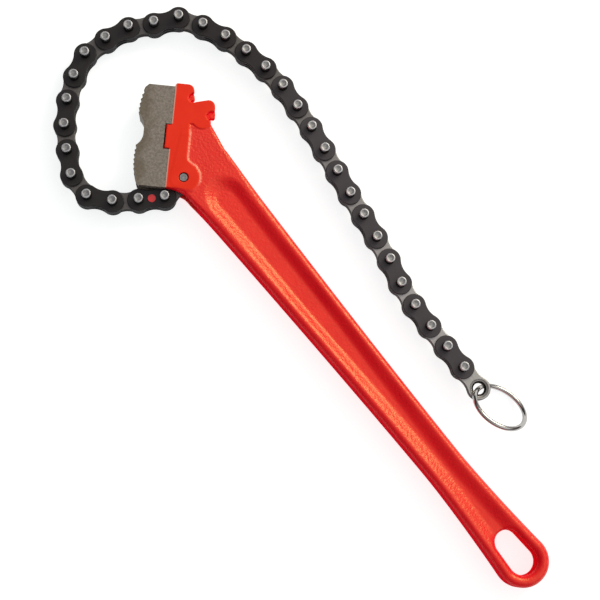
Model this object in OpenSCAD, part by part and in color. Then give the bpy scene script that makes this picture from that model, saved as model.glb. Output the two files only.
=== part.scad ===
// Chain wrench: cast handle, reversible toothed jaw, leaf chain and pull ring.
// Millimetres. The tool lies flat on z = 0 with x along the handle. The origin is
// under the middle of the flat pad behind the jaw.

/* [Head] */
// Thickness of the head across both cheeks
head_t = 20; // [18:0.5:26]
// Turn of the jaw seat from the handle, in degrees
head_angle = -44; // [-50:1:-38]
// Distance from the middle of the pad to the jaw seat
seat_y = 6; // [5.5:0.25:7]
// Distance from the middle of the pad to its back edge
pad_y = 5.2; // [4.5:0.1:5.6]
// Overhang of the first hook past the jaw's end
hook_reach = 2.2; // [1:0.2:4]
// How far the body lies below the pad on each face
pad_step = 0.6; // [0.3:0.1:1]
// Radius of the boss round the anchor pin
boss_r = 9.3; // [8.5:0.1:10]
// Anchor pin inwards from the end of the jaw
anchor_in = 7.3; // [6.6:0.1:8]
// Anchor pin behind the middle of the pad
anchor_y = 4.7; // [4.2:0.1:5.2]
// First hook notch inwards from the other end of the jaw
hook_in = 6.2; // [5.5:0.1:7]
// First hook notch behind the middle of the pad
hook_y = 5.7; // [5.2:0.1:6]
// Direction from the first hook notch to the second, in degrees
hook_angle = 49; // [46:1:52]
// Radius of the two hook horns
horn_r = 3; // [2.6:0.1:3.4]
// Width of the tongue that keys into the jaw
tongue_w = 15; // [12:0.5:17]
// Height of the tongue above the jaw seat
tongue_h = 2.9; // [2:0.1:4]
// Fillet between the boss and the pad
boss_fillet = 5; // [3:0.5:6]

/* [Handle] */
// Centre line of the handle to the side of the origin
handle_y = -1.2; // [-2:0.1:0]
// Start of the open section behind the head
grip_x = 42; // [40:1:46]
// Half width of the handle where the open section starts
grip_half = 17.4; // [16.8:0.2:18]
// Place of the narrowest part
neck_x = 255; // [240:1:265]
// Half width of the narrowest part
neck_half = 11.85; // [11.5:0.05:13]
// Centre of the end eye
eye_x = 326.2; // [310:0.2:340]
// Outer radius of the end eye
eye_r = 15.7; // [15:0.1:17]
// Radius of the hang hole's outer end
hole_r = 8.4; // [7.6:0.1:8.8]
// Radius of the hang hole's inner end
hole_in_r = 7.6; // [6.5:0.1:8]
// Distance between the two end centres of the hang hole
hole_run = 13.6; // [10:0.2:20]
// Width of the rounded rims
rim_w = 8.2; // [7.6:0.2:9]
// Thickness of the rims
rim_t = 18; // [16:0.5:18]
// Thickness of the web between the rims
web_t = 9; // [7:0.5:10]
// Fillet between rim and web
rim_fillet = 4; // [3:0.5:5]

/* [Jaw] */
// Length of the jaw along its seat
jaw_l = 64; // [63:0.5:66]
// Height of the jaw from its seat to the tooth crests
jaw_h = 20.7; // [19:0.1:24]
// Thickness of the jaw
jaw_t = 19; // [17:0.5:20]
// Chamfer of the two front corners
jaw_chamfer = 3.2; // [2:0.2:4]
// Radius of the crown of each toothed lobe
lobe_r = 46; // [40:1:80]
// Crown of a lobe from the middle of the jaw
lobe_x = 14.6; // [13:0.1:16]
// Radius of the smooth dip towards the lobe at the hooks
dip_r = 15; // [13:0.5:17]
// Middle of that side of the dip from the middle of the jaw
dip_x = -2.9; // [-3.4:0.1:-2.4]
// Radius of the smooth dip towards the other lobe
dip_turn_r = 9.5; // [8.5:0.25:10.5]
// Middle of that side of the dip from the middle of the jaw
dip_turn_x = -0.4; // [-0.8:0.1:0.2]
// Depth of the dip below the crowns
dip_depth = 4.4; // [3.8:0.1:4.8]
// Spacing of the teeth
tooth_pitch = 2.95; // [2.6:0.05:3]
// First tooth groove of the lobe at the hooks, from the middle of the jaw
tooth_start = 14.6; // [14.2:0.1:15.4]
// Grooves on that lobe
tooth_count = 5; // [3:1:5]
// First tooth groove of the other lobe, from the middle of the jaw
tooth_turn_start = 9; // [8.6:0.1:9.8]
// Grooves on that lobe
tooth_turn_count = 7; // [4:1:7]
// Depth of the tooth grooves
tooth_depth = 1.3; // [0.5:0.05:1.4]
// Depth of the chain groove in each end of the jaw
groove_depth = 5; // [4.8:0.1:5.4]
// Gap between the tongue and its notch in the jaw
key_gap = 0.5; // [0.3:0.1:0.8]
// Gap past the end of the tongue
tip_gap = 0.7; // [0.4:0.1:1]
// Radius of the jaw screw's shank
screw_r = 3; // [2.5:0.1:3.5]
// Radius of the jaw screw's head
screw_head_r = 5; // [4.5:0.1:5.5]
// Height of the jaw screw's head
screw_head_h = 6; // [4:0.25:6.5]
// Depth that the screw's head is sunk below the dip
screw_sink = 1.3; // [0.5:0.1:2]
// Length of the screw under its head
screw_l = 18; // [15:0.5:20]
// Gap round the screw's shank
screw_gap = 0.05; // [0.03:0.01:0.1]
// Gap round the screw's head
screw_head_gap = 0.3; // [0.2:0.05:0.5]

/* [Chain] */
// Pitch of the chain
pitch = 15.875; // [15.6:0.025:16.2]
// Thickness of every plate
plate_t = 1.6; // [1.4:0.05:1.7]
// Side gap between neighbouring plates
plate_gap = 0.1; // [0.08:0.01:0.15]
// Radius of the plate ends
plate_r = 7; // [6.6:0.1:7.2]
// Half height of the plate waist
waist = 5.3; // [5:0.1:5.8]
// Radius of the link pins and of the anchor pin
pin_r = 2.85; // [2.6:0.05:2.9]
// Chamfer on the pin ends
pin_chamfer = 0.5; // [0.3:0.05:0.7]
// Running gap round a pin in an inner plate
run_gap = 0.05; // [0.03:0.01:0.08]
// Gap round a pin where it is fixed
fix_gap = 0.02; // [0.01:0.005:0.03]
// Gap between a pin and its hook notch
hook_gap = 0.1; // [0.05:0.05:0.2]
// Gap between the chain and each cheek
slot_gap = 0.5; // [0.4:0.05:0.6]
// Gap between a plate's end and the floor of the chain slot
floor_gap = 0.7; // [0.5:0.1:0.9]
// How far the anchor pin's ends lie below the cheeks
anchor_sink = 0.3; // [0.2:0.1:0.6]
// Radius of the plain disc on the first link
disc_r = 2.4; // [1.8:0.1:2.8]
// Thickness of the plain disc
disc_t = 0.3; // [0.2:0.05:0.5]

/* [Ring] */
// Radius of the pull ring to the middle of its wire
ring_r = 16.9; // [16:0.1:18]
// Radius of the ring's wire
wire_r = 1.5; // [1.2:0.05:1.55]
// Radius of the last link's end hole, which takes the ring
ring_hole_r = 3.5; // [3.4:0.05:3.8]
// Radius of that hole at the outer faces, where it is flared for the leaning ring
ring_flare_r = 5.8; // [5.7:0.05:6]
// Lean of the ring from the floor, in degrees
ring_lean = 137; // [125:1:138]
// Turn of the ring from the last link, in degrees
ring_turn = 20.5; // [0:0.5:40]
// Gap between the ring and the floor
ring_gap = 0.05; // [0.02:0.01:0.2]

/* [Lay] */
// Heading of the first link, then the turn at each pin, in degrees
turns = [-85, -37, -3, -16.5, -40.5, -26, -4, -11.5, -9.5, -9.5, -28, -9.5, -18, 4.5, -33.5, -10,
    -7.5, -5, -7, -8, -1, -3.5, -0.5, -0.5, 2, -1, -1, -4, 6, 5, 2, 0, 0];

/* [Hidden] */
$fn = 64;
outer_count = 16;
inner_count = 17;
mid_z = head_t / 2;
layer = plate_t + plate_gap;
stack_t = 5 * plate_t + 4 * plate_gap;
slot_t = stack_t + 2 * slot_gap;
body_t = head_t - 2 * pad_step;
notch_r = pin_r + hook_gap;
eye_hole_r = pin_r + run_gap;
slot_r = plate_r + floor_gap;
hook = [hook_in - jaw_l / 2, hook_y];
hook_dir = [cos(hook_angle), sin(hook_angle)];
hook2 = hook + pitch * hook_dir;
anchor = [jaw_l / 2 - anchor_in, anchor_y];
over = 0.5;
far = 60;

// A point of the head, given along and behind the jaw seat, in the tool's frame
function head_point(p) = [
    p.x * cos(head_angle) - p.y * sin(head_angle),
    p.x * sin(head_angle) + p.y * cos(head_angle)
];

// Heading of a link, and the place where it starts
function heading(i) = i == 0 ? turns[0] : heading(i - 1) + turns[i];
function pin_at(i) = i == 0 ? head_point(anchor)
    : pin_at(i - 1) + pitch * [cos(heading(i - 1)), sin(heading(i - 1))];

// Names of the links, with two digits
function two(i) = i < 10 ? str("0", i) : str(i);
outer_names = [for (i = [1 : outer_count]) str("outer_plates_", two(i))];
pin_names = [for (i = [1 : outer_count]) str("link_pins_", two(i))];
inner_names = [for (i = [1 : inner_count]) str("inner_plates_", two(i))];

module in_head() {
    rotate([0, 0, head_angle]) children();
}

module slab(t) {
    translate([0, 0, mid_z - t / 2]) linear_extrude(t) children();
}

// Points along an arc round c from one angle to another
function arc(c, r, from, to, step = 10) = let (n = ceil(abs(to - from) / step))
    [for (i = [0 : n]) c + r * [cos(from + (to - from) * i / n), sin(from + (to - from) * i / n)]];

// Plan of the flat pad with its two hooks, along and behind the jaw seat
module pad_plan() {
    left = -jaw_l / 2 - hook_reach;
    end = jaw_l / 2;
    tip_r = horn_r / 2;
    horn1 = [left + horn_r, hook.y + 0.2 - horn_r];
    tip1 = [hook.x - notch_r - tip_r + 0.1, horn1.y + horn_r - tip_r];
    horn2 = [hook2.x - notch_r - 1.35 * horn_r, hook2.y - 0.4 * horn_r];
    tip2 = [hook2.x - notch_r - tip_r + 0.1, horn2.y + horn_r - tip_r];
    back_r = 6.8;
    back = [hook2.x + 1.85, hook2.y - 5.2];
    fillet = [
        anchor.x - sqrt(pow(boss_r + boss_fillet, 2) - pow(pad_y + boss_fillet - anchor.y, 2)),
        pad_y + boss_fillet
    ];
    boss_from = atan2(fillet.y - anchor.y, fillet.x - anchor.x);
    difference() {
        polygon(concat(
            arc([left + tip_r, tip_r - seat_y], tip_r, 270, 180),
            arc(horn1, horn_r, 180, 90),
            arc(tip1, tip_r, 90, 0),
            [hook, [hook.x + notch_r - 0.05, hook.y]],
            arc(horn2, horn_r, 195, 90),
            arc(tip2, tip_r, 90, 0),
            [hook2, [hook2.x + notch_r - 0.05, hook2.y]],
            arc(back, back_r, 50, -50),
            [[back.x + back_r * cos(50), pad_y]],
            arc(fillet, boss_fillet, -90, boss_from - 180),
            arc(anchor, boss_r, boss_from, acos((end - anchor.x) / boss_r)),
            [[end, -seat_y], [tongue_w / 2, -seat_y], [tongue_w / 2, -seat_y - tongue_h]],
            [[-tongue_w / 2, -seat_y - tongue_h], [-tongue_w / 2, -seat_y]]
        ));
        translate(hook) circle(notch_r);
        translate(hook2) circle(notch_r);
    }
}

// Plan of the cast body between the pad and the open section
module body_plan() {
    end = jaw_l / 2;
    shoulder = head_point([end + 4.9, 8.8]);
    polygon([
        head_point([hook2.x + notch_r + 2.5, 0]),
        head_point([hook2.x + notch_r + 2.5, hook2.y - 3]),
        head_point([hook2.x + notch_r + 2, hook2.y + 0.4]),
        [22, handle_y + grip_half + 1],
        [grip_x, handle_y + grip_half - 0.8],
        [grip_x, handle_y - grip_half + 0.8],
        [shoulder.x + 1.35, handle_y - grip_half - 0.8],
        shoulder,
        head_point([end + 2.7, 6.2]),
        head_point([end + 1.2, 2.5]),
        head_point([end - 0.7, -3]),
        head_point([end - 5, 1 - seat_y])
    ]);
}

// Room for the chain between the hooks
module hook_slot_plan() {
    side = [hook_dir.y, -hook_dir.x] * slot_r;
    run = (hook.y + side.y + seat_y) / hook_dir.y;
    polygon([
        hook + side - hook_dir * run,
        hook2 + side,
        [hook2.x + slot_r + over, hook2.y],
        [hook2.x + slot_r + over, far],
        [-far, far],
        [-far, -seat_y]
    ]);
}

// Room for the first link to swing round the anchor pin
module anchor_slot_plan() {
    translate(anchor) circle(slot_r);
    polygon([
        anchor + slot_r * [-0.75, -0.66],
        [jaw_l / 2 - groove_depth, -seat_y],
        [far, -seat_y],
        [far, anchor.y + 8],
        anchor + [18, slot_r + 1.8],
        anchor + slot_r * [-0.1, 0.99]
    ]);
}

// Half width of the handle at a place along it
function half_at(x) = x < neck_x
    ? neck_half + (grip_half - neck_half) * pow((neck_x - x) / (neck_x - grip_x), 1.4)
    : neck_half + (eye_r - neck_half) * pow((x - neck_x) / (eye_x - neck_x), 1.6);

// Section of the rim, from its outer side inwards, with a fillet that sinks into the web
function rim_section() = let (
    r = rim_w / 2,
    z = rim_t / 2 - r,
    fz = web_t / 2 + rim_fillet - 0.2,
    fx = r + sqrt(pow(r + rim_fillet, 2) - pow(fz - z, 2)),
    lean = atan2(fz - z, fx - r),
    top = concat(arc([r, z], r, 180, lean, 16), arc([fx, fz], rim_fillet, 190 + lean, 270, 16))
) concat(top, [for (i = [len(top) - 1 : -1 : 0]) [top[i].x, -top[i].y]]);

// Path of the rim's outer side, from the head round the end eye and back
function rim_path() = let (
    lap = 18,
    lean = atan(1.6 * (eye_r - neck_half) / (eye_x - neck_x)),
    xs = concat([grip_x - lap], [for (i = [0 : 6]) grip_x + (neck_x - grip_x) * i / 6],
        [for (i = [1 : 4]) neck_x + (eye_x - 6 - neck_x) * i / 4]),
    side = [for (x = xs) [x, half_at(x)]],
    back = [for (i = [len(xs) - 1 : -1 : 0]) [xs[i], -half_at(xs[i])]]
) concat(side, arc([eye_x, 0], eye_r, 90 + lean, -90 - lean, 13), back);

// The rim as one sweep along its path
module rim() {
    path = rim_path();
    section = rim_section();
    n = len(path);
    m = len(section);
    run = [for (j = [0 : n - 1]) path[min(j + 1, n - 1)] - path[max(j - 1, 0)]];
    inward = [for (t = run) [t.y, -t.x] / norm(t)];
    points = [for (j = [0 : n - 1]) for (p = section)
        concat(path[j] + inward[j] * p.x + [0, handle_y], mid_z + p.y)];
    sides = [for (j = [0 : n - 2]) for (k = [0 : m - 1]) for (tri = [
        [j * m + k, j * m + m + k, j * m + m + (k + 1) % m],
        [j * m + k, j * m + m + (k + 1) % m, j * m + (k + 1) % m]
    ]) tri];
    first = [for (k = [0 : m - 1]) k];
    last = [for (k = [m - 1 : -1 : 0]) (n - 1) * m + k];
    polyhedron(points, concat([first], sides, [last]));
}

// Plan of the web, which ends inside the rim
module web_plan() {
    xs = [for (i = [0 : 12]) grip_x - 3 + (eye_x - grip_x + 3) * i / 12];
    polygon(concat(
        [for (x = xs) [x, handle_y + half_at(x) - rim_w / 2]],
        [for (i = [len(xs) - 1 : -1 : 0]) [xs[i], handle_y - half_at(xs[i]) + rim_w / 2]]
    ));
}

module hang_hole_plan() {
    lean = 90 + asin((hole_r - hole_in_r) / hole_run);
    polygon(concat(
        arc([eye_x, handle_y], hole_r, -lean, lean),
        arc([eye_x - hole_run, handle_y], hole_in_r, lean, 360 - lean)
    ));
}

module handle() {
    color([0.87, 0.16, 0.1]) difference() {
        union() {
            in_head() slab(head_t) pad_plan();
            difference() {
                slab(body_t) body_plan();
                translate([grip_x + 5, handle_y, -1]) cylinder(h = mid_z + 1 - web_t / 2, r = 10);
                translate([grip_x + 5, handle_y, mid_z + web_t / 2]) cylinder(h = mid_z, r = 10);
            }
            rim();
            slab(web_t) web_plan();
        }
        translate([0, 0, -1]) linear_extrude(head_t + 2) hang_hole_plan();
        in_head() slab(slot_t) hook_slot_plan();
        in_head() slab(slot_t) anchor_slot_plan();
        in_head() translate([anchor.x, anchor.y, -1]) cylinder(h = head_t + 2, r = pin_r + fix_gap);
        in_head() translate([0, -seat_y - tongue_h - 1, mid_z]) rotate([-90, 0, 0])
            cylinder(h = seat_y + tongue_h + 1 + pad_y - 1, r = screw_r + screw_gap);
    }
}

module jaw_plan() {
    crown = seat_y + jaw_h;
    dip_top = crown - dip_depth;
    notch_w = tongue_w / 2 + key_gap;
    difference() {
        for (s = [-1, 1]) intersection() {
            translate([s * jaw_l / 4, -seat_y - jaw_h / 2]) square([jaw_l / 2, jaw_h], center = true);
            translate([s * lobe_x, lobe_r - crown]) circle(lobe_r, $fn = 128);
        }
        translate([dip_x, -dip_top - dip_r]) circle(dip_r);
        translate([dip_turn_x, -dip_top - dip_turn_r]) circle(dip_turn_r);
        translate([-notch_w, -seat_y - tongue_h - tip_gap]) square([2 * notch_w, tongue_h + tip_gap + 1]);
        for (s = [-1, 1]) {
            polygon([
                [s * (jaw_l / 2 + 1), -crown - 1],
                [s * (jaw_l / 2 + 1), jaw_chamfer + 1.6 - crown],
                [s * (jaw_l / 2), jaw_chamfer + 1.6 - crown],
                [s * (jaw_l / 2 - jaw_chamfer), 1.6 - crown],
                [s * (jaw_l / 2 - jaw_chamfer), -crown - 1]
            ]);
            for (k = [0 : (s < 0 ? tooth_count : tooth_turn_count) - 1]) {
                x = (s < 0 ? tooth_start : tooth_turn_start) + k * tooth_pitch;
                y = lobe_r - crown - sqrt(pow(lobe_r, 2) - pow(x - lobe_x, 2));
                translate([s * x, y - 0.1]) rotate(45)
                    square((tooth_depth + 0.1) * sqrt(2), center = true);
            }
        }
    }
}

module jaw() {
    dip = seat_y + jaw_h - dip_depth;
    head_at = dip - screw_sink - screw_head_h;
    color([0.5, 0.48, 0.44]) in_head() difference() {
        slab(jaw_t) jaw_plan();
        for (s = [-1, 1]) translate([s * jaw_l / 2, -seat_y - jaw_h / 2, mid_z])
            cube([2 * groove_depth, jaw_h + 4, slot_t], center = true);
        translate([0, -head_at, mid_z]) rotate([90, 0, 0])
            cylinder(h = jaw_h, r = screw_head_r + screw_head_gap);
        translate([0, 0, mid_z]) rotate([90, 0, 0]) cylinder(h = jaw_h, r = screw_r + screw_head_gap);
    }
}

module jaw_screw() {
    head_at = seat_y + jaw_h - dip_depth - screw_sink - screw_head_h;
    color([0.2, 0.2, 0.21]) in_head() translate([0, -head_at, mid_z]) difference() {
        union() {
            rotate([90, 0, 0]) cylinder(h = screw_head_h, r = screw_head_r);
            rotate([-90, 0, 0]) cylinder(h = screw_l, r = screw_r);
        }
        translate([0, -screw_head_h / 2, 0]) rotate([90, 0, 0])
            cylinder(h = screw_head_h, r = screw_head_r * 0.58, $fn = 6);
    }
}

// A round pin with chamfered ends, standing on z = 0
module chamfered_pin(l) {
    c = pin_chamfer;
    rotate_extrude() polygon([
        [0, 0], [pin_r - c, 0], [pin_r, c], [pin_r, l - c], [pin_r - c, l], [0, l]
    ]);
}

module anchor_pin() {
    at = head_point(anchor);
    color([0.55, 0.54, 0.53]) translate([at.x, at.y, anchor_sink]) chamfered_pin(head_t - 2 * anchor_sink);
}

// A link plate from its first pin hole at the origin to its second along x
module plate_plan(hole) {
    tall = (pow(pitch / 2, 2) + pow(waist, 2) - pow(plate_r, 2)) / (2 * (plate_r - waist));
    share = plate_r / (tall + plate_r);
    edge = [pitch / 2 * (1 - share), (waist + tall) * share];
    difference() {
        union() {
            circle(plate_r);
            translate([pitch, 0]) circle(plate_r);
            translate([pitch / 2, 0]) difference() {
                square([2 * edge.x, 2 * edge.y], center = true);
                for (s = [-1, 1]) translate([0, s * (waist + tall)]) circle(tall);
            }
        }
        circle(hole);
        translate([pitch, 0]) circle(hole);
    }
}

// Put a part on a link, at its first pin
module on_link(i) {
    at = pin_at(i);
    translate([at.x, at.y, mid_z]) rotate([0, 0, heading(i)]) children();
}

module outer_plates(n) {
    color([0.16, 0.15, 0.16]) on_link(2 * n - 1)
        for (k = [-1, 0, 1]) translate([0, 0, 2 * k * layer - plate_t / 2])
            linear_extrude(plate_t) plate_plan(pin_r + fix_gap);
}

// The flared end hole of the last link, in the upper plate
module ring_hole() {
    slope = (ring_flare_r - ring_hole_r) / plate_t;
    translate([pitch, 0, layer - plate_t / 2 - over]) cylinder(h = plate_t + 2 * over,
        r1 = ring_hole_r - over * slope, r2 = ring_flare_r + over * slope);
}

module inner_plates(n) {
    color([0.6, 0.59, 0.58]) on_link(2 * n - 2) difference() {
        for (k = [-1, 1]) translate([0, 0, k * layer - plate_t / 2]) linear_extrude(plate_t)
            plate_plan(eye_hole_r);
        if (n == inner_count) {
            ring_hole();
            rotate([180, 0, 0]) ring_hole();
        }
    }
}

module link_pins(n) {
    color([0.75, 0.75, 0.75]) on_link(2 * n - 1)
        for (x = [0, pitch]) translate([x, 0, -head_t / 2]) chamfered_pin(head_t);
}

module mark_disc() {
    color([0.8, 0.1, 0.1]) on_link(1) translate([pitch / 2, 0, stack_t / 2]) cylinder(h = disc_t, r = disc_r);
}

module pull_ring() {
    last = 2 * inner_count - 2;
    rise = ring_r * sin(ring_lean) + wire_r + ring_gap - mid_z;
    back = asin(rise / (ring_r * sin(ring_lean)));
    color([0.85, 0.85, 0.85]) on_link(last) translate([pitch, 0, 0]) rotate([0, 0, ring_turn])
        rotate([ring_lean, 0, 0]) rotate([0, 0, back]) translate([ring_r, 0, 0])
            rotate_extrude($fn = 96) translate([ring_r, 0]) circle(wire_r, $fn = 24);
}

handle();
jaw();
jaw_screw();
anchor_pin();
mark_disc();
pull_ring();
for (i = [1 : outer_count]) outer_plates(i);
for (i = [1 : outer_count]) link_pins(i);
for (i = [1 : inner_count]) inner_plates(i);
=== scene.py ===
"""Looks of a chain wrench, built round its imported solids. Lengths in the values are millimetres."""

import math

import bmesh
import bpy
import numpy as np
from mathutils import Matrix, Vector
from mathutils.geometry import tessellate_polygon


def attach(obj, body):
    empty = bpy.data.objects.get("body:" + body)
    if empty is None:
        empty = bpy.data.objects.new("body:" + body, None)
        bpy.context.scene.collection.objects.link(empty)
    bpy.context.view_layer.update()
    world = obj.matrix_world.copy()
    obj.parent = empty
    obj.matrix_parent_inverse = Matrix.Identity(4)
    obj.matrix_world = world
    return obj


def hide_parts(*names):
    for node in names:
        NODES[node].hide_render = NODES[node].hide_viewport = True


MM = 0.001
LINKS = 33

# Camera
CAMERA_AT = (204.2, -135.55, 845.3)
CAMERA_RIGHT = (0.6303, 0.7740, 0.0597)
CAMERA_UP = (-0.7704, 0.6141, 0.1714)
LENS = 84.0
SENSOR = 36.0

# Floor, key light and surroundings, in metres and watts
FLOOR_SIZE = 6.0
FLOOR_BASE = (0.42, 0.42, 0.42, 1)
FLOOR_GLOW = (0.768, 0.785, 0.788, 1)
KEY_AT = (-0.03, 1.03, 0.66)
KEY_TARGET = (0.13, 0.0, 0.0)
KEY_SIZE = (0.64, 0.50)
KEY_POWER = 10.0
KEY_COLOUR = (1.0, 0.92, 0.70)
SKY_STOPS = ((0.0, 0.05), (0.35, 0.16), (0.6, 0.95), (0.88, 1.1), (1.0, 0.7))
SKY_TINT = (1.0, 0.98, 0.95)
SKY_LEVEL = 0.8
SKY_SLOPES = (("X", 0.28), ("Y", 0.5))

# Head, as in the solids
MID_Z = 10.0
HEAD_ANGLE = math.radians(-44)
SEAT_Y = 6.0
PAD_Y = 5.2
PAD_STEP = 0.6
HOOK_REACH = 2.2
BOSS_R = 9.3
BOSS_FILLET = 5.0
ANCHOR = np.array([24.7, 4.7])
HOOK = np.array([-25.8, 5.7])
HOOK_ANGLE = math.radians(49)
HORN_R = 3.0
HORN1_RISE = 0.2
HORN2_RISE = 0.6
HORN2_SPAN = 2.35
BACK_R = 6.8
BACK_OFF = np.array([1.85, -5.2])
BACK_ARC = 50
TONGUE = (15.0, 2.9)
JAW_L = 64.0
GROOVE_DEPTH = 5.0

# Handle, as in the solids
HANDLE_Y = -1.2
GRIP = (42.0, 17.4)
NECK = (255.0, 11.85)
EYE = (326.2, 15.7)
TAPER_POWER = 1.4
FLARE_POWER = 1.6
HOLE_R = 8.4
HOLE_IN_R = 7.6
HOLE_RUN = 13.6
RIM_T = 18.0
LAP = 18.0

# Casting's finer forms: a fade is a start and a run along the handle
FIELD_X = (-34.0, 344.0)
FIELD_Y = (-34.0, 34.0)
FIELD_Z = 11.0
STEP_FINE = 0.45
SURFACE_PULLS = 2
PULL_LIMIT = 0.3
SAME_PLACE = 1e-12
HORN_ROUND = HORN_R + 1
TIP_LAP = 0.1
NOTCH_LAP = 0.05
BODY_FILLET = 1.2
PAD_FILLET = 0.8
PAD_EDGE_R = 0.6
HOLE_ROUND = 3.0
ANCHOR_ROOM = 0.12
GRIP_FADE = (30, 34)
EDGE_R, EDGE_MORE = 2.4, 1.7
RIDGE_OFF, RIDGE_RUN = 0.2, 1.7
RIDGE_FADE = (-6, 4)

# Channel: its depth and round start, then its wall's place and width, with more near the head and the eye
CHANNEL = 3.6
START_X, START_RUN = 48.0, 11.5
START_WALL = 8.1
HEAD_FADE = (140, 80)
EYE_FADE = (130, 120)
WALL_MID = (7.0, 1.1, 0.3)
WALL_WIDTH = (7.4, 1.2, 1.8)

# Marks in the casting's paint: where the pad's paint ends, the pale seat line, the painted highlight along
# the pad's ridge, and the shine, which is lowered on the side away from the key as painted shade
PAD_BLEND = 0.8
PAD_RISE = (9.2, 0.5)
SEAT_LINE = (1.5, 0.6)
SEAT_DEEP = 0.9
SEAT_GAP = 0.6
# the ridge values below place the painted highlight, a pale line along the pad's ridge
RIDGE_AT = 0.9
RIDGE_LINE = (1.2, 0.6)
RIDGE_DEEP = 1.2
RIDGE_HIGHLIGHT = 0.24
RIDGE_ENDS = (-8, 30)
RIDGE_END_RUN = 4
RIDGE_BEND = (3, 8)
SHINE_TILT = (0.2, 0.45)
SHADE_SHINE, SHADE_TILT = 0.3, 0.5

# Chain, as in the solids
PITCH = 15.875
PLATE_T = 1.6
LAYER = 1.7
PLATE_R = 7.0
WAIST = 5.3
PIN_R = 2.85
FIX_GAP = 0.02
RUN_GAP = 0.05
NOTCH_R = 2.95
SLOT_R = 7.7
SLOT_T = 9.4
SLOT_FAR = 60
ANCHOR_SINK = 0.3
RING_R = 16.9
WIRE_R = 1.5
RING_HOLE_R = 3.5
RING_FLARE_R = 5.8
RING_LEAN = math.radians(137)
RING_TURN = math.radians(20.5)
RING_GAP = 0.05
TURNS = (-85, -37, -3, -16.5, -40.5, -26, -4, -11.5, -9.5, -9.5, -28, -9.5, -18, 4.5, -33.5, -10,
         -7.5, -5, -7, -8, -1, -3.5, -0.5, -0.5, 2, -1, -1, -4, 6, 5, 2, 0, 0)

# Chain's finer forms, and the links over which the steel is painted paler, as painted light brightening
# towards the ring
PLATE_EDGE = 0.45
HOLE_EASE = 0.15
FLARE_EASE = 0.2
OUTLINE_STEP = 7
HOLE_STEP = 8
LEVEL = 0.9999
PIN_MIDDLE = PIN_R - 0.85
ANCHOR_MIDDLE = PIN_R - 0.5
PIN_END_H = 0.5
SIDE_TILT = 0.8
RING_AROUND, RING_ACROSS = 160, 28
PALE_FROM = 16
PALE_RUN_PLAIN = 14
PALE_RUN_BLACK = 5

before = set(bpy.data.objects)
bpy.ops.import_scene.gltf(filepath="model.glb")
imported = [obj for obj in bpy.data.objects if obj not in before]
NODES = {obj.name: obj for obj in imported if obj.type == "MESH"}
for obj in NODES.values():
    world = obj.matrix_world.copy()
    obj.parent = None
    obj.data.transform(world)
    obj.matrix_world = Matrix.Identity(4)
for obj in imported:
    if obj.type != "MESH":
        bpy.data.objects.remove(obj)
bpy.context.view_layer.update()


# Plans

def turned(p, angle):
    """Points turned about the origin."""
    p = np.asarray(p, float)
    c, s = math.cos(angle), math.sin(angle)
    return np.stack([p[..., 0] * c - p[..., 1] * s, p[..., 0] * s + p[..., 1] * c], -1)


def head_point(p):
    """Points along and behind the jaw seat, in the tool's frame."""
    return turned(p, HEAD_ANGLE)


def arc(centre, radius, start, end, step=8):
    """Points along an arc, with its angles in degrees."""
    n = max(1, math.ceil(abs(end - start) / step))
    a = np.radians(np.linspace(start, end, n + 1))
    return np.asarray(centre) + radius * np.stack([np.cos(a), np.sin(a)], -1)


HOOK_DIR = np.array([math.cos(HOOK_ANGLE), math.sin(HOOK_ANGLE)])
HOOK2 = HOOK + PITCH * HOOK_DIR


def pad_plan():
    """Outline of the flat pad with its hooks, along and behind the jaw seat."""
    left = -JAW_L / 2 - HOOK_REACH
    end = JAW_L / 2
    tip_r = HORN_R / 2
    horn1 = np.array([left + HORN_ROUND, HOOK[1] + HORN1_RISE - HORN_ROUND])
    tip1 = np.array([HOOK[0] - NOTCH_R - tip_r + TIP_LAP, horn1[1] + HORN_ROUND - tip_r])
    horn2 = np.array([HOOK2[0] - NOTCH_R - HORN2_SPAN * HORN_R + HORN_ROUND,
                      HOOK2[1] + HORN2_RISE * HORN_R - HORN_ROUND])
    tip2 = np.array([HOOK2[0] - NOTCH_R - tip_r + TIP_LAP, horn2[1] + HORN_ROUND - tip_r])
    back = HOOK2 + BACK_OFF
    back_end = back[0] + BACK_R * math.cos(math.radians(BACK_ARC))
    fillet_y = PAD_Y + BOSS_FILLET
    reach = math.sqrt((BOSS_R + BOSS_FILLET) ** 2 - (fillet_y - ANCHOR[1]) ** 2)
    fillet = np.array([ANCHOR[0] - reach, fillet_y])
    boss_from = math.degrees(math.atan2(fillet[1] - ANCHOR[1], fillet[0] - ANCHOR[0]))
    boss_to = math.degrees(math.acos((end - ANCHOR[0]) / BOSS_R))
    return np.vstack([
        arc([left + tip_r, tip_r - SEAT_Y], tip_r, 270, 180),
        arc(horn1, HORN_ROUND, 180, 90),
        arc(tip1, tip_r, 90, 0),
        [HOOK, [HOOK[0] + NOTCH_R - NOTCH_LAP, HOOK[1]]],
        arc(horn2, HORN_ROUND, 195, 90),
        arc(tip2, tip_r, 90, 0),
        [HOOK2, [HOOK2[0] + NOTCH_R - NOTCH_LAP, HOOK2[1]]],
        arc(back, BACK_R, BACK_ARC, -BACK_ARC),
        [[back_end, PAD_Y]],
        arc(fillet, BOSS_FILLET, -90, boss_from - 180),
        arc(ANCHOR, BOSS_R, boss_from, boss_to),
        [[end, -SEAT_Y], [TONGUE[0] / 2, -SEAT_Y], [TONGUE[0] / 2, -SEAT_Y - TONGUE[1]]],
        [[-TONGUE[0] / 2, -SEAT_Y - TONGUE[1]], [-TONGUE[0] / 2, -SEAT_Y]],
    ])


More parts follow.
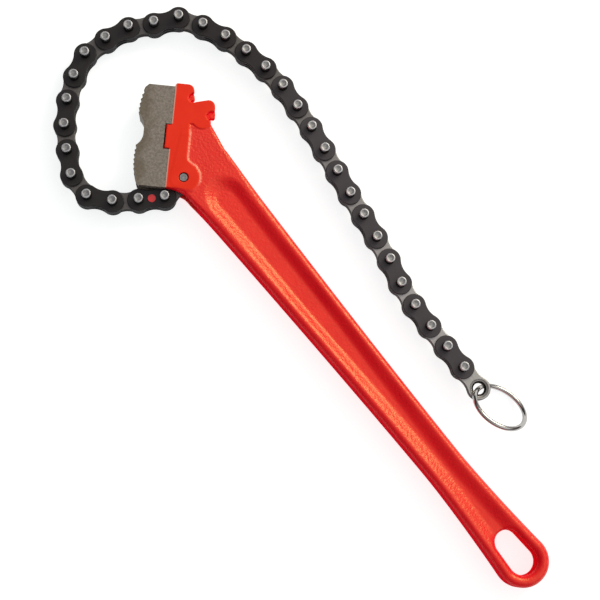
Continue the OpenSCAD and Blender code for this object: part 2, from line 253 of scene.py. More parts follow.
def body_plan():
    """Outline of the cast body between the pad and the open section."""
    return np.vstack([
        head_point([HOOK2[0] + NOTCH_R + 2.5, 0]),
        head_point([HOOK2[0] + NOTCH_R + 2.5, HOOK2[1] - 3]),
        head_point([HOOK2[0] + NOTCH_R + 2, HOOK2[1] + 0.4]),
        [22, HANDLE_Y + GRIP[1] + 1],
        [GRIP[0] + 6, HANDLE_Y + GRIP[1] - 1],
        [GRIP[0] + 6, HANDLE_Y - GRIP[1] + 1],
        [34, HANDLE_Y - GRIP[1] - 0.8],
        head_point([36.9, 8.8]),
        head_point([34.7, 6.2]),
        head_point([33.2, 2.5]),
        head_point([JAW_L / 2 - 0.7, -3]),
        head_point([JAW_L / 2 - 5, 1 - SEAT_Y]),
    ])


def half_at(x):
    """Half width of the handle at a place along it."""
    if x < NECK[0]:
        return NECK[1] + (GRIP[1] - NECK[1]) * ((NECK[0] - x) / (NECK[0] - GRIP[0])) ** TAPER_POWER
    return NECK[1] + (EYE[1] - NECK[1]) * ((x - NECK[0]) / (EYE[0] - NECK[0])) ** FLARE_POWER


def grip_plan():
    """Outline of the open section, from the head round the end eye."""
    lean = math.degrees(math.atan(FLARE_POWER * (EYE[1] - NECK[1]) / (EYE[0] - NECK[0])))
    taper = np.linspace(GRIP[0], NECK[0], 40)
    flare = np.linspace(NECK[0] + 3, EYE[0] - 6, 20)
    side = np.array([[x, half_at(x)] for x in (GRIP[0] - LAP, *taper, *flare)])
    eye = arc([EYE[0], 0], EYE[1], 90 + lean, -90 - lean, 4)
    return np.vstack([side, eye, side[::-1] * [1, -1]]) + [0, HANDLE_Y]


def hook_slot_plan():
    """Room for the chain between the hooks, along and behind the jaw seat."""
    side = np.array([HOOK_DIR[1], -HOOK_DIR[0]]) * SLOT_R
    run = (HOOK[1] + side[1] + SEAT_Y) / HOOK_DIR[1]
    wall = HOOK2[0] + SLOT_R + 0.5
    return np.array([HOOK + side - HOOK_DIR * run, HOOK2 + side, [wall, HOOK2[1]], [wall, SLOT_FAR],
                     [-SLOT_FAR, SLOT_FAR], [-SLOT_FAR, -SEAT_Y]])


def anchor_slot_plan():
    """Room for the first link to swing, along and behind the jaw seat."""
    return np.array([ANCHOR + np.multiply(SLOT_R, [-0.75, -0.66]), [JAW_L / 2 - GROOVE_DEPTH, -SEAT_Y],
                     [SLOT_FAR, -SEAT_Y], [SLOT_FAR, ANCHOR[1] + 8], ANCHOR + [18, SLOT_R + 1.8],
                     ANCHOR + np.multiply(SLOT_R, [-0.1, 0.99])])


def outline_distance(points, px, py):
    """Signed distance of places to a closed outline, negative inside."""
    near = np.full(px.shape, np.inf)
    inside = np.zeros(px.shape, bool)
    for (ax, ay), (bx, by) in zip(points, np.roll(points, -1, 0)):
        ex, ey = bx - ax, by - ay
        size = ex * ex + ey * ey
        if size < SAME_PLACE:
            continue
        wx, wy = px - ax, py - ay
        t = np.clip((wx * ex + wy * ey) / size, 0, 1)
        near = np.minimum(near, (wx - ex * t) ** 2 + (wy - ey * t) ** 2)
        if ey:
            inside ^= ((ay > py) != (by > py)) & (wx < ex * wy / ey)
    near = np.sqrt(near)
    return np.where(inside, -near, near)


# The cast handle as one field, negative inside the metal

def smooth_union(a, b, k):
    """Union of two fields with a fillet of about k."""
    h = np.maximum(k - np.abs(a - b), 0) / k
    return np.minimum(a, b) - h * h * k / 4


def rounded_slab(plan, half, radius, z):
    """Field of a plan with a half thickness and rounded edges."""
    qx = (plan + radius)[..., None]
    qz = z - (half - radius)[..., None]
    outside = np.sqrt(np.maximum(qx, 0) ** 2 + np.maximum(qz, 0) ** 2)
    return outside + np.minimum(np.maximum(qx, qz), 0) - radius[..., None]


def smooth_step(t):
    """A share from 0 to 1 that starts and ends level."""
    t = np.clip(t, 0, 1)
    return t * t * (3 - 2 * t)


def channel_depth(px, py, grip):
    """Depth of the handle's channel, which has a round start near the head."""
    near_head = smooth_step((HEAD_FADE[0] - px) / HEAD_FADE[1])
    near_eye = smooth_step((px - EYE_FADE[0]) / EYE_FADE[1])
    wall_mid, wall = (plain + head * near_head + eye * near_eye
                      for plain, head, eye in (WALL_MID, WALL_WIDTH))
    start_half = half_at(START_X) - START_WALL
    before = start_half * (np.hypot((px - START_X) / START_RUN, (py - HANDLE_Y) / start_half) - 1)
    climb = np.where(px < START_X, before, wall_mid + grip)
    return CHANNEL * smooth_step(0.5 - climb / wall)


def handle_field(step):
    """Places along x and y, heights above the middle plane, and the field there."""
    xs = np.arange(*FIELD_X, step)
    ys = np.arange(*FIELD_Y, step)
    zs = (np.arange(math.ceil(FIELD_Z / step)) + 0.5) * step
    px, py = np.meshgrid(xs, ys, indexing="ij")
    head = turned(np.stack([px, py], -1), -HEAD_ANGLE)
    hx, hy = head[..., 0], head[..., 1]
    from_anchor = np.hypot(hx - ANCHOR[0], hy - ANCHOR[1])

    grip = outline_distance(grip_plan(), px, py)
    bar = smooth_union(grip, outline_distance(body_plan(), px, py), BODY_FILLET)
    into_grip = smooth_step((px - GRIP_FADE[0]) / GRIP_FADE[1])
    half = MID_Z - PAD_STEP + (RIM_T / 2 - MID_Z + PAD_STEP) * into_grip
    pad = outline_distance(pad_plan(), hx, hy)
    ridge = PAD_STEP * smooth_step(1 - (pad - RIDGE_OFF) / RIDGE_RUN)
    ridge = ridge * smooth_step((hx - RIDGE_FADE[0]) / RIDGE_FADE[1])
    half = half - channel_depth(px, py, grip) + ridge
    field = rounded_slab(bar, half, EDGE_R + EDGE_MORE * into_grip, zs)

    for at in (HOOK, HOOK2):
        pad = np.maximum(pad, NOTCH_R - np.hypot(hx - at[0], hy - at[1]))
    pad_slab = rounded_slab(pad, np.full(px.shape, MID_Z), np.full(px.shape, PAD_EDGE_R), zs)
    field = smooth_union(field, pad_slab, PAD_FILLET)

    along = np.clip((px - EYE[0]) / HOLE_RUN + 1, 0, 1)
    hole = np.hypot(px - EYE[0] + HOLE_RUN * (1 - along), py - HANDLE_Y)
    hole = hole - HOLE_IN_R - (HOLE_R - HOLE_IN_R) * along
    field = -smooth_union(-field, np.broadcast_to(hole[..., None], field.shape), HOLE_ROUND)

    slots = np.minimum.reduce([outline_distance(hook_slot_plan(), hx, hy),
                               outline_distance(anchor_slot_plan(), hx, hy), from_anchor - SLOT_R])
    field = np.maximum(field, -np.maximum(slots[..., None], zs - SLOT_T / 2))
    bore = from_anchor - PIN_R - ANCHOR_ROOM
    return xs, ys, zs, np.maximum(field, -bore[..., None])


CORNERS = list(np.ndindex(2, 2, 2))


def sample(field, at):
    """Field values at places between the grid's points."""
    low = np.clip(np.floor(at).astype(int), 0, np.array(field.shape) - 2)
    part = at - low
    total = 0
    for corner in CORNERS:
        share = np.prod(np.where(corner, part, 1 - part), axis=1)
        total = total + share * field[tuple((low + corner).T)]
    return total


def rise(field, at, reach=0.75):
    """Slope of the field at places, in grid steps."""
    slopes = [sample(field, at + reach * e) - sample(field, at - reach * e) for e in np.eye(3)]
    return np.stack(slopes, 1) / (2 * reach)


def cell_points(field, cells):
    """Mean of the crossings on each cell's edges, drawn onto the surface, and the slope there."""
    total = np.zeros((len(cells), 3))
    hits = np.zeros(len(cells))
    for corner in CORNERS:
        for axis in range(3):
            if corner[axis]:
                continue
            other = list(corner)
            other[axis] = 1
            here = field[tuple((cells + corner).T)]
            there = field[tuple((cells + other).T)]
            cross = (here < 0) != (there < 0)
            point = np.tile(np.array(corner, float), (len(cells), 1))
            point[:, axis] = np.where(cross, here / np.where(cross, here - there, 1), 0)
            total += point * cross[:, None]
            hits += cross
    places = cells + total / hits[:, None]
    for _ in range(SURFACE_PULLS):
        slope = rise(field, places)
        off = sample(field, places) / np.maximum((slope ** 2).sum(1), 1e-9)
        places -= np.clip(off[:, None] * slope, -PULL_LIMIT, PULL_LIMIT)
    return places, rise(field, places)


def crossing_faces(inside, index):
    """One face round each grid edge that crosses the surface, facing out of the metal."""
    faces = []
    for axis in range(3):
        u, v = (axis + 1) % 3, (axis + 2) % 3
        low = [slice(None)] * 3
        high = [slice(None)] * 3
        low[axis], high[axis] = slice(None, -1), slice(1, None)
        change = inside[tuple(low)].astype(np.int8) - inside[tuple(high)]
        at = np.argwhere(change)
        at = at[(at[:, u] > 0) & (at[:, v] > 0)]
        outwards = change[tuple(at.T)] > 0
        quad = []
        for du, dv in ((1, 1), (0, 1), (0, 0), (1, 0)):
            cell = at.copy()
            cell[:, u] -= du
            cell[:, v] -= dv
            quad.append(index[tuple(cell.T)])
        quad = np.stack(quad, 1)
        faces.append(np.where(outwards[:, None], quad, quad[:, ::-1]))
    return np.vstack(faces)


def net_mesh(name, xs, ys, zs, field):
    """Mesh of a field's zero surface, with its points and normals: one point in each crossed cell."""
    inside = field < 0
    size = [n - 1 for n in field.shape]
    count = np.zeros(size, np.int8)
    for i, j, k in CORNERS:
        count += inside[i:i + size[0], j:j + size[1], k:k + size[2]]
    cells = np.argwhere((count > 0) & (count < len(CORNERS)))
    index = np.full(size, -1, np.int64)
    index[tuple(cells.T)] = np.arange(len(cells))
    places, slope = cell_points(field, cells)
    normals = slope / np.linalg.norm(slope, axis=1)[:, None]
    step = np.array([xs[1] - xs[0], ys[1] - ys[0], zs[1] - zs[0]])
    points = np.array([xs[0], ys[0], zs[0]]) + places * step
    faces = crossing_faces(inside, index)

    mesh = bpy.data.meshes.new(name)
    mesh.vertices.add(len(points))
    mesh.vertices.foreach_set("co", (points * MM).ravel())
    mesh.loops.add(faces.size)
    mesh.loops.foreach_set("vertex_index", faces.ravel())
    mesh.polygons.add(len(faces))
    mesh.polygons.foreach_set("loop_start", np.arange(0, faces.size, 4))
    mesh.update(calc_edges=True)
    mesh.polygons.foreach_set("use_smooth", np.ones(len(faces), bool))
    mesh.normals_split_custom_set_from_vertices(normals)
    return mesh, points, normals


# Forms of the chain

def bm_to_mesh(bm, name, smooth=True):
    """Mesh from a finished bmesh, flat on its level faces."""
    bmesh.ops.recalc_face_normals(bm, faces=bm.faces)
    mesh = bpy.data.meshes.new(name)
    bm.to_mesh(mesh)
    bm.free()
    level = [abs(p.normal.z) > LEVEL for p in mesh.polygons]
    mesh.polygons.foreach_set("use_smooth", np.logical_and(smooth, np.logical_not(level)))
    return mesh


def link_places():
    """Start and heading of every link, with the end of the last."""
    heading = np.radians(np.cumsum(TURNS))
    way = np.stack([np.cos(heading), np.sin(heading)], -1)
    start = head_point(ANCHOR)
    return np.vstack([start, start + PITCH * np.cumsum(way, 0)]), heading


PIN_AT, HEADING = link_places()


def at_pin(i):
    """Matrix that puts a form at a pin's place in the middle plane, in metres."""
    return Matrix.Translation(Vector([v * MM for v in (*PIN_AT[i], MID_Z)]))


def at_link(i):
    """Matrix that puts a form on a link, in metres."""
    return at_pin(i) @ Matrix.Rotation(HEADING[i], 4, "Z")


def plate_outline(inset):
    """Outline of a link plate, drawn in by a small inset, from its first pin hole at the origin."""
    tall = ((PITCH / 2) ** 2 + WAIST ** 2 - PLATE_R ** 2) / (2 * (PLATE_R - WAIST))
    r, waist_r = PLATE_R - inset, tall + inset
    meet = math.degrees(math.atan2(WAIST + tall, PITCH / 2))
    first = arc([0, 0], r, meet, 360 - meet, OUTLINE_STEP)
    last = arc([PITCH, 0], r, meet - 180, 180 - meet, OUTLINE_STEP)
    low = arc([PITCH / 2, -WAIST - tall], waist_r, 180 - meet, meet, OUTLINE_STEP)[1:-1]
    high = arc([PITCH / 2, WAIST + tall], waist_r, -meet, meet - 180, OUTLINE_STEP)[1:-1]
    return np.vstack([first, low, last, high])


def add_loops(bm, outlines):
    """Bridge a row of level outlines of equal length, each with its height, and give back their vertices."""
    rows = [[bm.verts.new((x * MM, y * MM, z * MM)) for x, y in outline] for outline, z in outlines]
    for a, b in zip(rows, rows[1:]):
        n = len(a)
        for i in range(n):
            bm.faces.new((a[i], a[(i + 1) % n], b[(i + 1) % n], b[i]))
    return rows


def round_rows(half, radius, steps):
    """Inset and height along a rounded edge, from the lower face to the upper."""
    a = np.radians(np.linspace(0, 90, steps + 1))
    inset = radius * (1 - np.sin(a))
    height = half - radius * (1 - np.cos(a))
    lower = [(i, -h) for i, h in zip(inset, height)]
    upper = [(i, h) for i, h in zip(inset[::-1], height[::-1])]
    return lower + upper


def add_plate(bm, z, holes):
    """One link plate with rounded outer edges. A hole is a radius, or one for each face."""
    half = PLATE_T / 2
    edge = [(plate_outline(inset), z + h) for inset, h in round_rows(half, PLATE_EDGE, 3)]
    rows = [add_loops(bm, edge)]
    for x0, r in zip((0, PITCH), holes):
        low, high = r if isinstance(r, tuple) else (r, r)
        rims = [(low + HOLE_EASE, -half), (low, HOLE_EASE - half), ((low + high) / 2, 0),
                (high, half - HOLE_EASE), (high + HOLE_EASE, half)]
        circles = [(arc([x0, 0], rim, 0, 360 - HOLE_STEP, HOLE_STEP), z + h) for rim, h in rims]
        rows.append(add_loops(bm, circles))
    for end in (0, -1):
        loops = [row[end] for row in rows]
        flat = [v for loop in loops for v in loop]
        for tri in tessellate_polygon([[v.co.copy() for v in loop] for loop in loops]):
            bm.faces.new([flat[i] for i in tri])


def plates_mesh(name, layers, holes, *materials):
    """The plates of one link, with a material for their faces and one for their sides."""
    bm = bmesh.new()
    for k in layers:
        add_plate(bm, k * LAYER, [r[::k] if isinstance(r, tuple) else r for r in holes])
    mesh = bm_to_mesh(bm, name)
    for material in materials:
        mesh.materials.append(material)
    for p in mesh.polygons:
        p.material_index = int(abs(p.normal.z) < SIDE_TILT)
    return mesh


def add_lathe(bm, profile, x0, turns=40):
    """A closed turned form about an upright axis, from a profile of radius and height."""
    rows = []
    for r, z in profile:
        if r < 1e-6:
            rows.append([bm.verts.new((x0 * MM, 0, z * MM))])
        else:
            rows.append([bm.verts.new((p[0] * MM, p[1] * MM, z * MM))
                         for p in arc([x0, 0], r, 0, 360 - 360 / turns, 360 / turns)])
    for a, b in zip(rows, rows[1:]):
        n = max(len(a), len(b))
        for i in range(n):
            j = (i + 1) % n
            ring = [a[i % len(a)], a[j % len(a)], b[j % len(b)], b[i % len(b)]]
            bm.faces.new(list(dict.fromkeys(ring)))


def pin_profile(half, middle):
    """A pin's turned outline: side, chamfer, bright land and a faint sunk middle."""
    upper = [(PIN_R, half - 0.45), (PIN_R - 0.12, half - 0.22), (PIN_R - 0.34, half), (middle, half - 0.01),
             (middle - 0.18, half - 0.13), (0, half - 0.1)]
    return [(r, -z) for r, z in reversed(upper)] + upper


def pins_mesh(name, half, places, middle, land):
    """Pins of one link: side, land and middle have a material each, or the land has the side's."""
    bm = bmesh.new()
    for x0 in places:
        add_lathe(bm, pin_profile(half, middle), x0)
    for f in bm.faces:
        height = abs(f.calc_center_median().z / MM)
        off = max(min(math.hypot(v.co.x / MM - x0, v.co.y / MM) for x0 in places) for v in f.verts)
        if height > half - PIN_END_H and off < PIN_R + 0.01:
            f.material_index = 2 if off < middle + 0.01 else int(land)
    mesh = bm_to_mesh(bm, name)
    for material in (SHADE_BLACK, PIN, PIN_END):
        mesh.materials.append(material)
    return mesh


# Materials

class Shader:
    """A material's node tree with a few short ways to add to it."""

    def __init__(self, name):
        self.material = bpy.data.materials.new(name)
        self.material.use_nodes = True
        self.tree = self.material.node_tree
        self.main = next(n for n in self.tree.nodes if n.type == "BSDF_PRINCIPLED")
        self.place = self.add("ShaderNodeTexCoord").outputs["Object"]

    def add(self, kind, **values):
        """A new node with some of its properties."""
        node = self.tree.nodes.new(kind)
        for key, value in values.items():
            setattr(node, key, value)
        return node

    def set(self, **values):
        """Constant values on the main shader's sockets."""
        for key, value in values.items():
            self.main.inputs[key.replace("_", " ")].default_value = value
        return self

    def link(self, a, b):
        """A link between two sockets."""
        self.tree.links.new(a, b)

    def feed(self, key, value):
        """A link to one of the main shader's sockets."""
        self.link(value, self.main.inputs[key])

    def put(self, value, socket):
        """A link or a constant on a socket."""
        if isinstance(value, bpy.types.NodeSocket):
            self.link(value, socket)
        else:
            socket.default_value = (*value, 1) if isinstance(value, tuple) else value

    def attribute(self, name):
        """A value that the mesh holds at its points."""
        return self.add("ShaderNodeAttribute", attribute_name=name).outputs["Fac"]

    def noise(self, scale, detail=3.0, rough=0.55, stretch=None):
        """Noise by the place on the object."""
        node = self.add("ShaderNodeTexNoise")
        for key, value in (("Scale", scale), ("Detail", detail), ("Roughness", rough)):
            node.inputs[key].default_value = value
        place = self.place
        if stretch:
            mapping = self.add("ShaderNodeMapping")
            mapping.inputs["Scale"].default_value = stretch
            self.link(place, mapping.inputs["Vector"])
            place = mapping.outputs["Vector"]
        self.link(place, node.inputs["Vector"])
        return node.outputs["Fac"]

    def ramp(self, value, *stops):
        """Colours by a value between stops."""
        node = self.add("ShaderNodeValToRGB")
        set_stops(node, stops)
        self.link(value, node.inputs["Fac"])
        return node.outputs["Color"]

    def mix(self, share, a, b):
        """A mix of two colours."""
        node = self.add("ShaderNodeMix", data_type="RGBA")
        for value, socket in ((share, node.inputs[0]), (a, node.inputs[6]), (b, node.inputs[7])):
            self.put(value, socket)
        return node.outputs[2]

    def math(self, kind, a, b):
        """A sum, difference or product of two values."""
        node = self.add("ShaderNodeMath", operation=kind)
        for value, socket in zip((a, b), node.inputs):
            self.put(value, socket)
        return node.outputs[0]

    def bump(self, height, strength, distance):
        """Fine relief from a height."""
        node = self.add("ShaderNodeBump")
        node.inputs["Distance"].default_value = distance * MM
        self.put(strength, node.inputs["Strength"])
        self.link(height, node.inputs["Height"])
        self.feed("Normal", node.outputs["Normal"])


def set_stops(node, stops):
    """Places and colours of a ramp."""
    ends = node.color_ramp.elements
    while len(ends) < len(stops):
        ends.new(0.5)
    for end, (at, colour) in zip(ends, stops):
        end.position = at
        end.color = (*colour, 1)


def grey(v):
    """An even grey."""
    return (v, v, v)


def red_paint():
    """Orange-red enamel: pebbled on the casting, smooth and flatter on the pad, with a pale line along the
    jaw seat, a painted highlight along the pad's ridge, and less shine on the side away from the key as
    painted shade.
    """
    s = Shader("red_enamel").set(Specular_Tint=(0.60, 1.0, 0.45, 1))
    pad = s.attribute("pad")
    cast = s.ramp(s.noise(60, 4), (0.3, (0.78, 0.006, 0.018)), (0.7, (0.84, 0.011, 0.021)))
    flat = s.ramp(s.noise(90, 3), (0.3, (0.77, 0.023, 0.012)), (0.7, (0.81, 0.029, 0.016)))
    # the pale mix draws the seat line and a painted highlight along the pad's ridge
    s.feed("Base Color", s.mix(s.attribute("pale_seat_and_ridge_highlight"), s.mix(pad, cast, flat), (0.85, 0.66, 0.55)))
    level = s.math("SUBTRACT", 0.6, s.math("MULTIPLY", pad, 0.4))
    s.feed("Specular IOR Level", s.math("MULTIPLY", level, s.attribute("shine")))
    grain = s.noise(620, 1.5, 0.6)
    s.feed("Roughness", s.ramp(grain, (0.3, grey(0.30)), (0.75, grey(0.40))))
    split = s.add("ShaderNodeSeparateXYZ")
    s.link(s.place, split.inputs["Vector"])
    coarse = s.ramp(split.outputs["X"], (0.03, grey(0.75)), (0.08, grey(0.4)))
    s.bump(grain, s.math("MULTIPLY", s.math("SUBTRACT", 1.0, pad), coarse), 0.6)
    return s.material


def jaw_steel():
    """Bare matt steel, warm grey, with brown stains towards the teeth."""
    s = Shader("jaw_bare_steel").set(Metallic=0.55, Specular_IOR_Level=0.4)
    to_teeth = s.add("ShaderNodeVectorMath", operation="DOT_PRODUCT")
    s.link(s.place, to_teeth.inputs[0])
    to_teeth.inputs[1].default_value = (math.sin(HEAD_ANGLE), -math.cos(HEAD_ANGLE), 0)
    near = s.math("MULTIPLY", s.math("SUBTRACT", to_teeth.outputs["Value"], 0.017), 35.0)
    stain = s.ramp(s.math("ADD", s.noise(110, 5, 0.62), near), (0.47, grey(0)), (0.72, grey(1)))
    speck = s.noise(620, 6, 0.8)
    base = s.ramp(speck, (0.34, (0.135, 0.116, 0.099)), (0.66, (0.315, 0.276, 0.247)))
    s.feed("Base Color", s.mix(s.math("MULTIPLY", stain, 0.6), base, (0.115, 0.094, 0.062)))
    s.feed("Roughness", s.ramp(speck, (0.3, grey(0.45)), (0.7, grey(0.62))))
    s.bump(speck, 0.25, 0.12)
    return s.material


def plate_steel(name, dark, light, rough, metal, grain, shine=0.5, pale=None):
    """Rolled plate with a faint grain along its length and fine specks, painted paler by the object's own
    colour as painted light.
    """
    s = Shader(name).set(Metallic=metal, Specular_IOR_Level=shine)
    along = s.noise(260, 4, 0.6, stretch=(0.18, 1.0, 1.0))
    speck = s.noise(1500, 3, 0.7)
    share = s.math("ADD", s.math("MULTIPLY", along, 0.6), s.math("MULTIPLY", speck, 0.4))
    base = s.ramp(share, (0.3, dark), (0.72, light))
    # painted light: the object's colour mixes the base towards a paler tone
    if pale:
        base = s.mix(s.add("ShaderNodeObjectInfo").outputs["Color"], base, pale)
    s.feed("Base Color", base)
    s.feed("Roughness", s.ramp(speck, (0.3, grey(rough - 0.07)), (0.7, grey(rough + 0.08))))
    s.bump(share, grain, 0.1)
    return s.material


def pin_steel(name, dark, light, rough, scale):
    """Ground or cropped pin steel."""
    s = Shader(name).set(Metallic=0.9)
    mottle = s.noise(scale, 4, 0.65)
    s.feed("Base Color", s.ramp(mottle, (0.35, dark), (0.65, light)))
    s.feed("Roughness", s.ramp(mottle, (0.3, grey(rough - 0.06)), (0.7, grey(rough + 0.08))))
    s.bump(mottle, 0.3, 0.06)
    return s.material


def chrome():
    """Polished wire with the faintest draw marks."""
    s = Shader("ring_polish").set(Metallic=1.0, Base_Color=(0.42, 0.405, 0.40, 1))
    s.feed("Roughness", s.ramp(s.noise(900, 3), (0.3, grey(0.06)), (0.7, grey(0.13))))
    return s.material


def mark_paint():
    """Plain red paint of the disc."""
    s = Shader("disc_paint").set(Coat_Weight=0.3, Coat_Roughness=0.15, Roughness=0.35)
    s.feed("Base Color", s.ramp(s.noise(700, 3), (0.3, (0.60, 0.012, 0.020)), (0.7, (0.72, 0.02, 0.026))))
    return s.material


RED = red_paint()
JAW = jaw_steel()
# the pale tones are painted light, mixed in more on links towards the ring
BLACK = plate_steel("black_oxide_plate", (0.008, 0.006, 0.0075), (0.019, 0.015, 0.0175), 0.40, 0.0, 0.2, 0.3,
                    pale=(0.050, 0.043, 0.051))
PLAIN = plate_steel("bare_plate", (0.080, 0.074, 0.073), (0.145, 0.136, 0.135), 0.42, 0.75, 0.2,
                    pale=(0.38, 0.365, 0.373))
END_PLATE = plate_steel("bare_end_plate", (0.30, 0.29, 0.288), (0.44, 0.43, 0.427), 0.42, 0.75, 0.2)
SCREW = plate_steel("black_screw", (0.012, 0.012, 0.013), (0.03, 0.03, 0.032), 0.35, 0.5, 0.1)
# painted shade: near black for the pins' sides, the anchor pin's land and the end plate's flared hole, which
# sit in shade
SHADE_BLACK = plate_steel("painted_shade_black", grey(0.003), grey(0.008), 0.4, 0.0, 0.1, 0.2)
BLACK_SIDE = plate_steel("black_plate_side", (0.010, 0.009, 0.010), (0.020, 0.018, 0.020), 0.5, 0.0, 0.1,
                         0.12)
# painted shade: the bare plates' sides are much darker than their faces, for the shade between the plates
PLAIN_SIDE_SHADE = plate_steel("bare_plate_painted_side_shade", (0.022, 0.022, 0.024), (0.042, 0.042, 0.046), 0.5, 0.0, 0.1,
                         0.12)
PIN = pin_steel("pin_ground", (0.38, 0.38, 0.40), (0.51, 0.51, 0.54), 0.45, 500)
PIN_END = pin_steel("pin_cropped_end", (0.165, 0.165, 0.172), (0.33, 0.33, 0.345), 0.46, 900)
CHROME = chrome()
DISC = mark_paint()


# Pieces

def dress(node, material, bevel):
    """Give a solid its material and eased edges."""
    solid = NODES[node]
    solid.data.materials.clear()
    solid.data.materials.append(material)
    solid.data.polygons.foreach_set("use_smooth", np.ones(len(solid.data.polygons), bool))
    ease = solid.modifiers.new("ease", "BEVEL")
    ease.width = bevel * MM
    ease.segments = 2
    ease.limit_method = "ANGLE"
    ease.angle_limit = math.radians(38)
    ease.harden_normals = True


def new_piece(name, mesh, at, body, node):
    """An object at a place, which rides on a body and stands for a solid."""
    piece = bpy.data.objects.new(name, mesh)
    bpy.context.scene.collection.objects.link(piece)
    piece.matrix_world = at
    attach(piece, body)
    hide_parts(node)
    return piece


def line_share(off, reach, soft):
    """Strength of a line at a distance from it."""
    return smooth_step(reach - np.abs(off) / soft)


def paint_marks(points, normals):
    """How far the casting's points are smooth pad, on the pale seat line or the painted ridge highlight, and
    shiny, each from 0 to 1; the shine holds painted shade, lower on faces turned away from the key.
    """
    hx, hy = turned(points[:, :2], -HEAD_ANGLE).T
    below_top = 2 * MID_Z - points[:, 2]
    off = outline_distance(pad_plan(), hx, hy)
    raised = smooth_step((np.abs(points[:, 2] - MID_Z) - PAD_RISE[0]) / PAD_RISE[1])
    pad = smooth_step(0.5 - off / PAD_BLEND) * raised

    beside_tongue = np.abs(hx) > TONGUE[0] / 2 + SEAT_GAP
    seat = line_share(hy + SEAT_Y, *SEAT_LINE) * (below_top < SEAT_DEEP) * beside_tongue
    # painted highlight: a pale line along the pad's ridge, where its fillet would catch the key
    ridge = line_share(off - RIDGE_AT, *RIDGE_LINE) * (below_top < RIDGE_DEEP) * (hy > 0)
    ridge = ridge * np.where(hx < RIDGE_BEND[0], smooth_step(RIDGE_BEND[1] - hy), 1)
    for way, end in zip((1, -1), RIDGE_ENDS):
        ridge = ridge * smooth_step(way * (hx - end) / RIDGE_END_RUN)
    pale_seat_and_ridge_highlight = np.maximum(seat, RIDGE_HIGHLIGHT * ridge)

    level = smooth_step((np.abs(normals[:, 2]) - SHINE_TILT[0]) / SHINE_TILT[1])
    # painted shade: less shine on faces turned away from the key, towards -y
    lit_side = smooth_step(normals[:, 1] / SHADE_TILT + 1)
    shine = level * (SHADE_SHINE + (1 - SHADE_SHINE) * lit_side)
    return {"pad": pad, "pale_seat_and_ridge_highlight": pale_seat_and_ridge_highlight, "shine": shine}


def make_handle():
    """The casting, with marks for its paint."""
    xs, ys, zs, upper = handle_field(STEP_FINE)
    field = np.concatenate([upper[..., ::-1], upper], -1)
    levels = np.concatenate([-zs[::-1], zs]) + MID_Z
    mesh, points, normals = net_mesh("handle_casting", xs, ys, levels, field)
    for key, values in paint_marks(points, normals).items():
        mark = mesh.attributes.new(key, "FLOAT", "POINT")
        mark.data.foreach_set("value", values.astype(np.float32))
    mesh.materials.append(RED)
    new_piece("handle_casting", mesh, Matrix(), "frame", "handle")


def make_links():
    """Plates and pins of every link; the plates are painted paler towards the ring, as painted light."""
    fixed = PIN_R + FIX_GAP
    running = PIN_R + RUN_GAP
    flared = (RING_HOLE_R, RING_FLARE_R - FLARE_EASE)
    outer = plates_mesh("outer_link", (-2, 0, 2), (fixed, fixed), BLACK, BLACK_SIDE)
    inner = plates_mesh("inner_link", (-1, 1), (running, running), PLAIN, PLAIN_SIDE_SHADE)
    last = plates_mesh("last_link", (-1, 1), (running, flared), END_PLATE, PLAIN_SIDE_SHADE, SHADE_BLACK)
    # painted shade: the flared hole's wall takes the near-black shade material
    for p in last.polygons:
        if math.hypot(p.center.x / MM - PITCH, p.center.y / MM) < (RING_HOLE_R + RING_FLARE_R) / 2:
            p.material_index = len(last.materials) - 1
    pins = pins_mesh("pin_pair", MID_Z, (0, PITCH), PIN_MIDDLE, land=True)
    for i in range(LINKS):
        n = i // 2 + 1
        if i % 2:
            run = PALE_RUN_BLACK
            kinds = [("outer_plates", outer, "black_plate"), ("link_pins", pins, "pin_steel")]
        else:
            run = PALE_RUN_PLAIN
            kinds = [("inner_plates", last if i == LINKS - 1 else inner, "plain_plate")]
        body = f"link_{i + 1:02d}"
        for kind, mesh, slot in kinds:
            piece = new_piece(f"{kind}_look_{n:02d}", mesh, at_link(i), body, f"{kind}_{n:02d}")
            # painted light: how far this link's plates are painted paler
            piece.color = (*grey(smooth_step((i - PALE_FROM) / run)), 1)


def make_anchor():
    """End of the anchor pin, seen in the boss."""
    # painted shade: the pin's land takes the near-black shade material, as a shaded ring round its end
    mesh = pins_mesh("anchor_look", MID_Z - ANCHOR_SINK, (0,), ANCHOR_MIDDLE, land=False)
    new_piece("anchor_pin_look", mesh, at_link(0), "frame", "anchor_pin")


def make_ring():
    """The pull ring as a smooth wire, turned about the point where it hangs."""
    tall = RING_R * math.sin(RING_LEAN)
    back = math.asin((tall + WIRE_R + RING_GAP - MID_Z) / tall)
    bm = bmesh.new()
    loops = []
    for a in (2 * math.pi * i / RING_AROUND for i in range(RING_AROUND)):
        loop = []
        for b in (2 * math.pi * j / RING_ACROSS for j in range(RING_ACROSS)):
            r = RING_R + WIRE_R * math.cos(b)
            loop.append(bm.verts.new(((r * math.cos(a) + RING_R) * MM, r * math.sin(a) * MM,
                                      WIRE_R * math.sin(b) * MM)))
        loops.append(loop)
    for a, b in zip(loops, loops[1:] + loops[:1]):
        for j in range(RING_ACROSS):
            k = (j + 1) % RING_ACROSS
            bm.faces.new((a[j], b[j], b[k], a[k]))
    mesh = bm_to_mesh(bm, "ring_look")
    mesh.materials.append(CHROME)
    turn = Matrix.Rotation(HEADING[-1] + RING_TURN, 4, "Z") @ Matrix.Rotation(RING_LEAN, 4, "X")
    at = at_pin(LINKS) @ turn @ Matrix.Rotation(back, 4, "Z")
    new_piece("pull_ring_look", mesh, at, "ring", "pull_ring")


make_handle()
make_links()
make_anchor()
make_ring()
dress("jaw", JAW, 0.08)
dress("jaw_screw", SCREW, 0.3)
dress("mark_disc", DISC, 0.12)


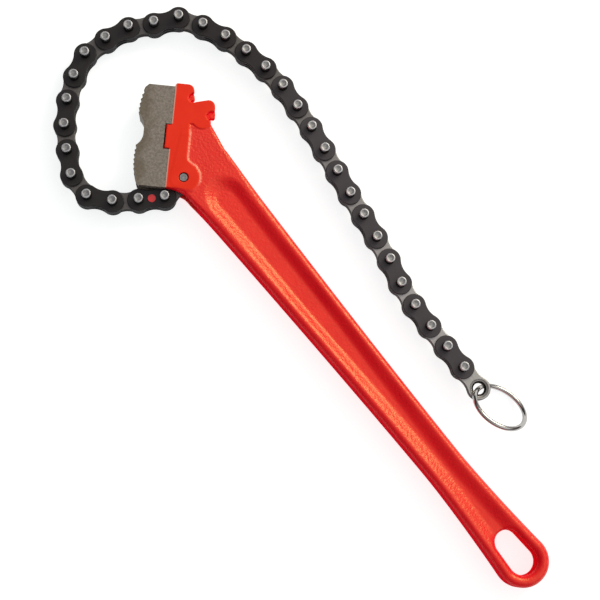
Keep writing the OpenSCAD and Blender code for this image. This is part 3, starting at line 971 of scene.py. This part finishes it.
# Stage

def make_floor():
    """A plain pale floor that glows a little."""
    bm = bmesh.new()
    bmesh.ops.create_grid(bm, x_segments=1, y_segments=1, size=FLOOR_SIZE)
    mesh = bm_to_mesh(bm, "floor", smooth=False)
    floor = bpy.data.objects.new("floor", mesh)
    bpy.context.scene.collection.objects.link(floor)
    s = Shader("floor_white").set(Base_Color=FLOOR_BASE, Roughness=0.9, Specular_IOR_Level=0.0,
                                  Emission_Color=FLOOR_GLOW, Emission_Strength=1.0)
    mesh.materials.append(s.material)


def make_key():
    """One soft box that faces the tool."""
    light = bpy.data.lights.new("key", "AREA")
    light.shape = "RECTANGLE"
    light.size, light.size_y = KEY_SIZE
    light.energy = KEY_POWER
    light.color = KEY_COLOUR
    lamp = bpy.data.objects.new("key", light)
    bpy.context.scene.collection.objects.link(lamp)
    lamp.location = KEY_AT
    lamp.rotation_euler = (Vector(KEY_TARGET) - Vector(KEY_AT)).to_track_quat("-Z", "Y").to_euler()


def make_world():
    """Surroundings that are dark low down, white above and brighter on the key's side."""
    world = bpy.data.worlds.new("surroundings")
    world.use_nodes = True
    tree = world.node_tree
    place = tree.nodes.new("ShaderNodeTexCoord")
    split = tree.nodes.new("ShaderNodeSeparateXYZ")
    tree.links.new(place.outputs["Generated"], split.inputs["Vector"])
    ramp = tree.nodes.new("ShaderNodeValToRGB")
    set_stops(ramp, [(at, [value * tint for tint in SKY_TINT]) for at, value in SKY_STOPS])
    tree.links.new(split.outputs["Z"], ramp.inputs["Fac"])
    back = tree.nodes["Background"]
    tree.links.new(ramp.outputs["Color"], back.inputs["Color"])
    level = None
    for axis, slope in SKY_SLOPES:
        side = tree.nodes.new("ShaderNodeMath")
        side.operation = "MULTIPLY_ADD"
        side.inputs[1].default_value = slope
        side.inputs[2].default_value = SKY_LEVEL
        tree.links.new(split.outputs[axis], side.inputs[0])
        if level:
            tree.links.new(level, side.inputs[2])
        level = side.outputs[0]
    tree.links.new(level, back.inputs["Strength"])
    bpy.context.scene.world = world


def make_camera():
    """The camera, fitted to the pins and the handle's end."""
    camera = bpy.data.cameras.new("camera")
    camera.lens = LENS
    camera.sensor_width = SENSOR
    camera.clip_start, camera.clip_end = 0.01, 50
    eye = bpy.data.objects.new("camera", camera)
    bpy.context.scene.collection.objects.link(eye)
    right = Vector(CAMERA_RIGHT).normalized()
    back_way = right.cross(Vector(CAMERA_UP)).normalized()
    up = back_way.cross(right)
    turn = Matrix((right, up, back_way)).transposed().to_4x4()
    eye.matrix_world = Matrix.Translation(Vector(CAMERA_AT) * MM) @ turn
    bpy.context.scene.camera = eye


make_floor()
make_key()
make_world()
make_camera()
bpy.context.scene.view_settings.view_transform = "Standard"
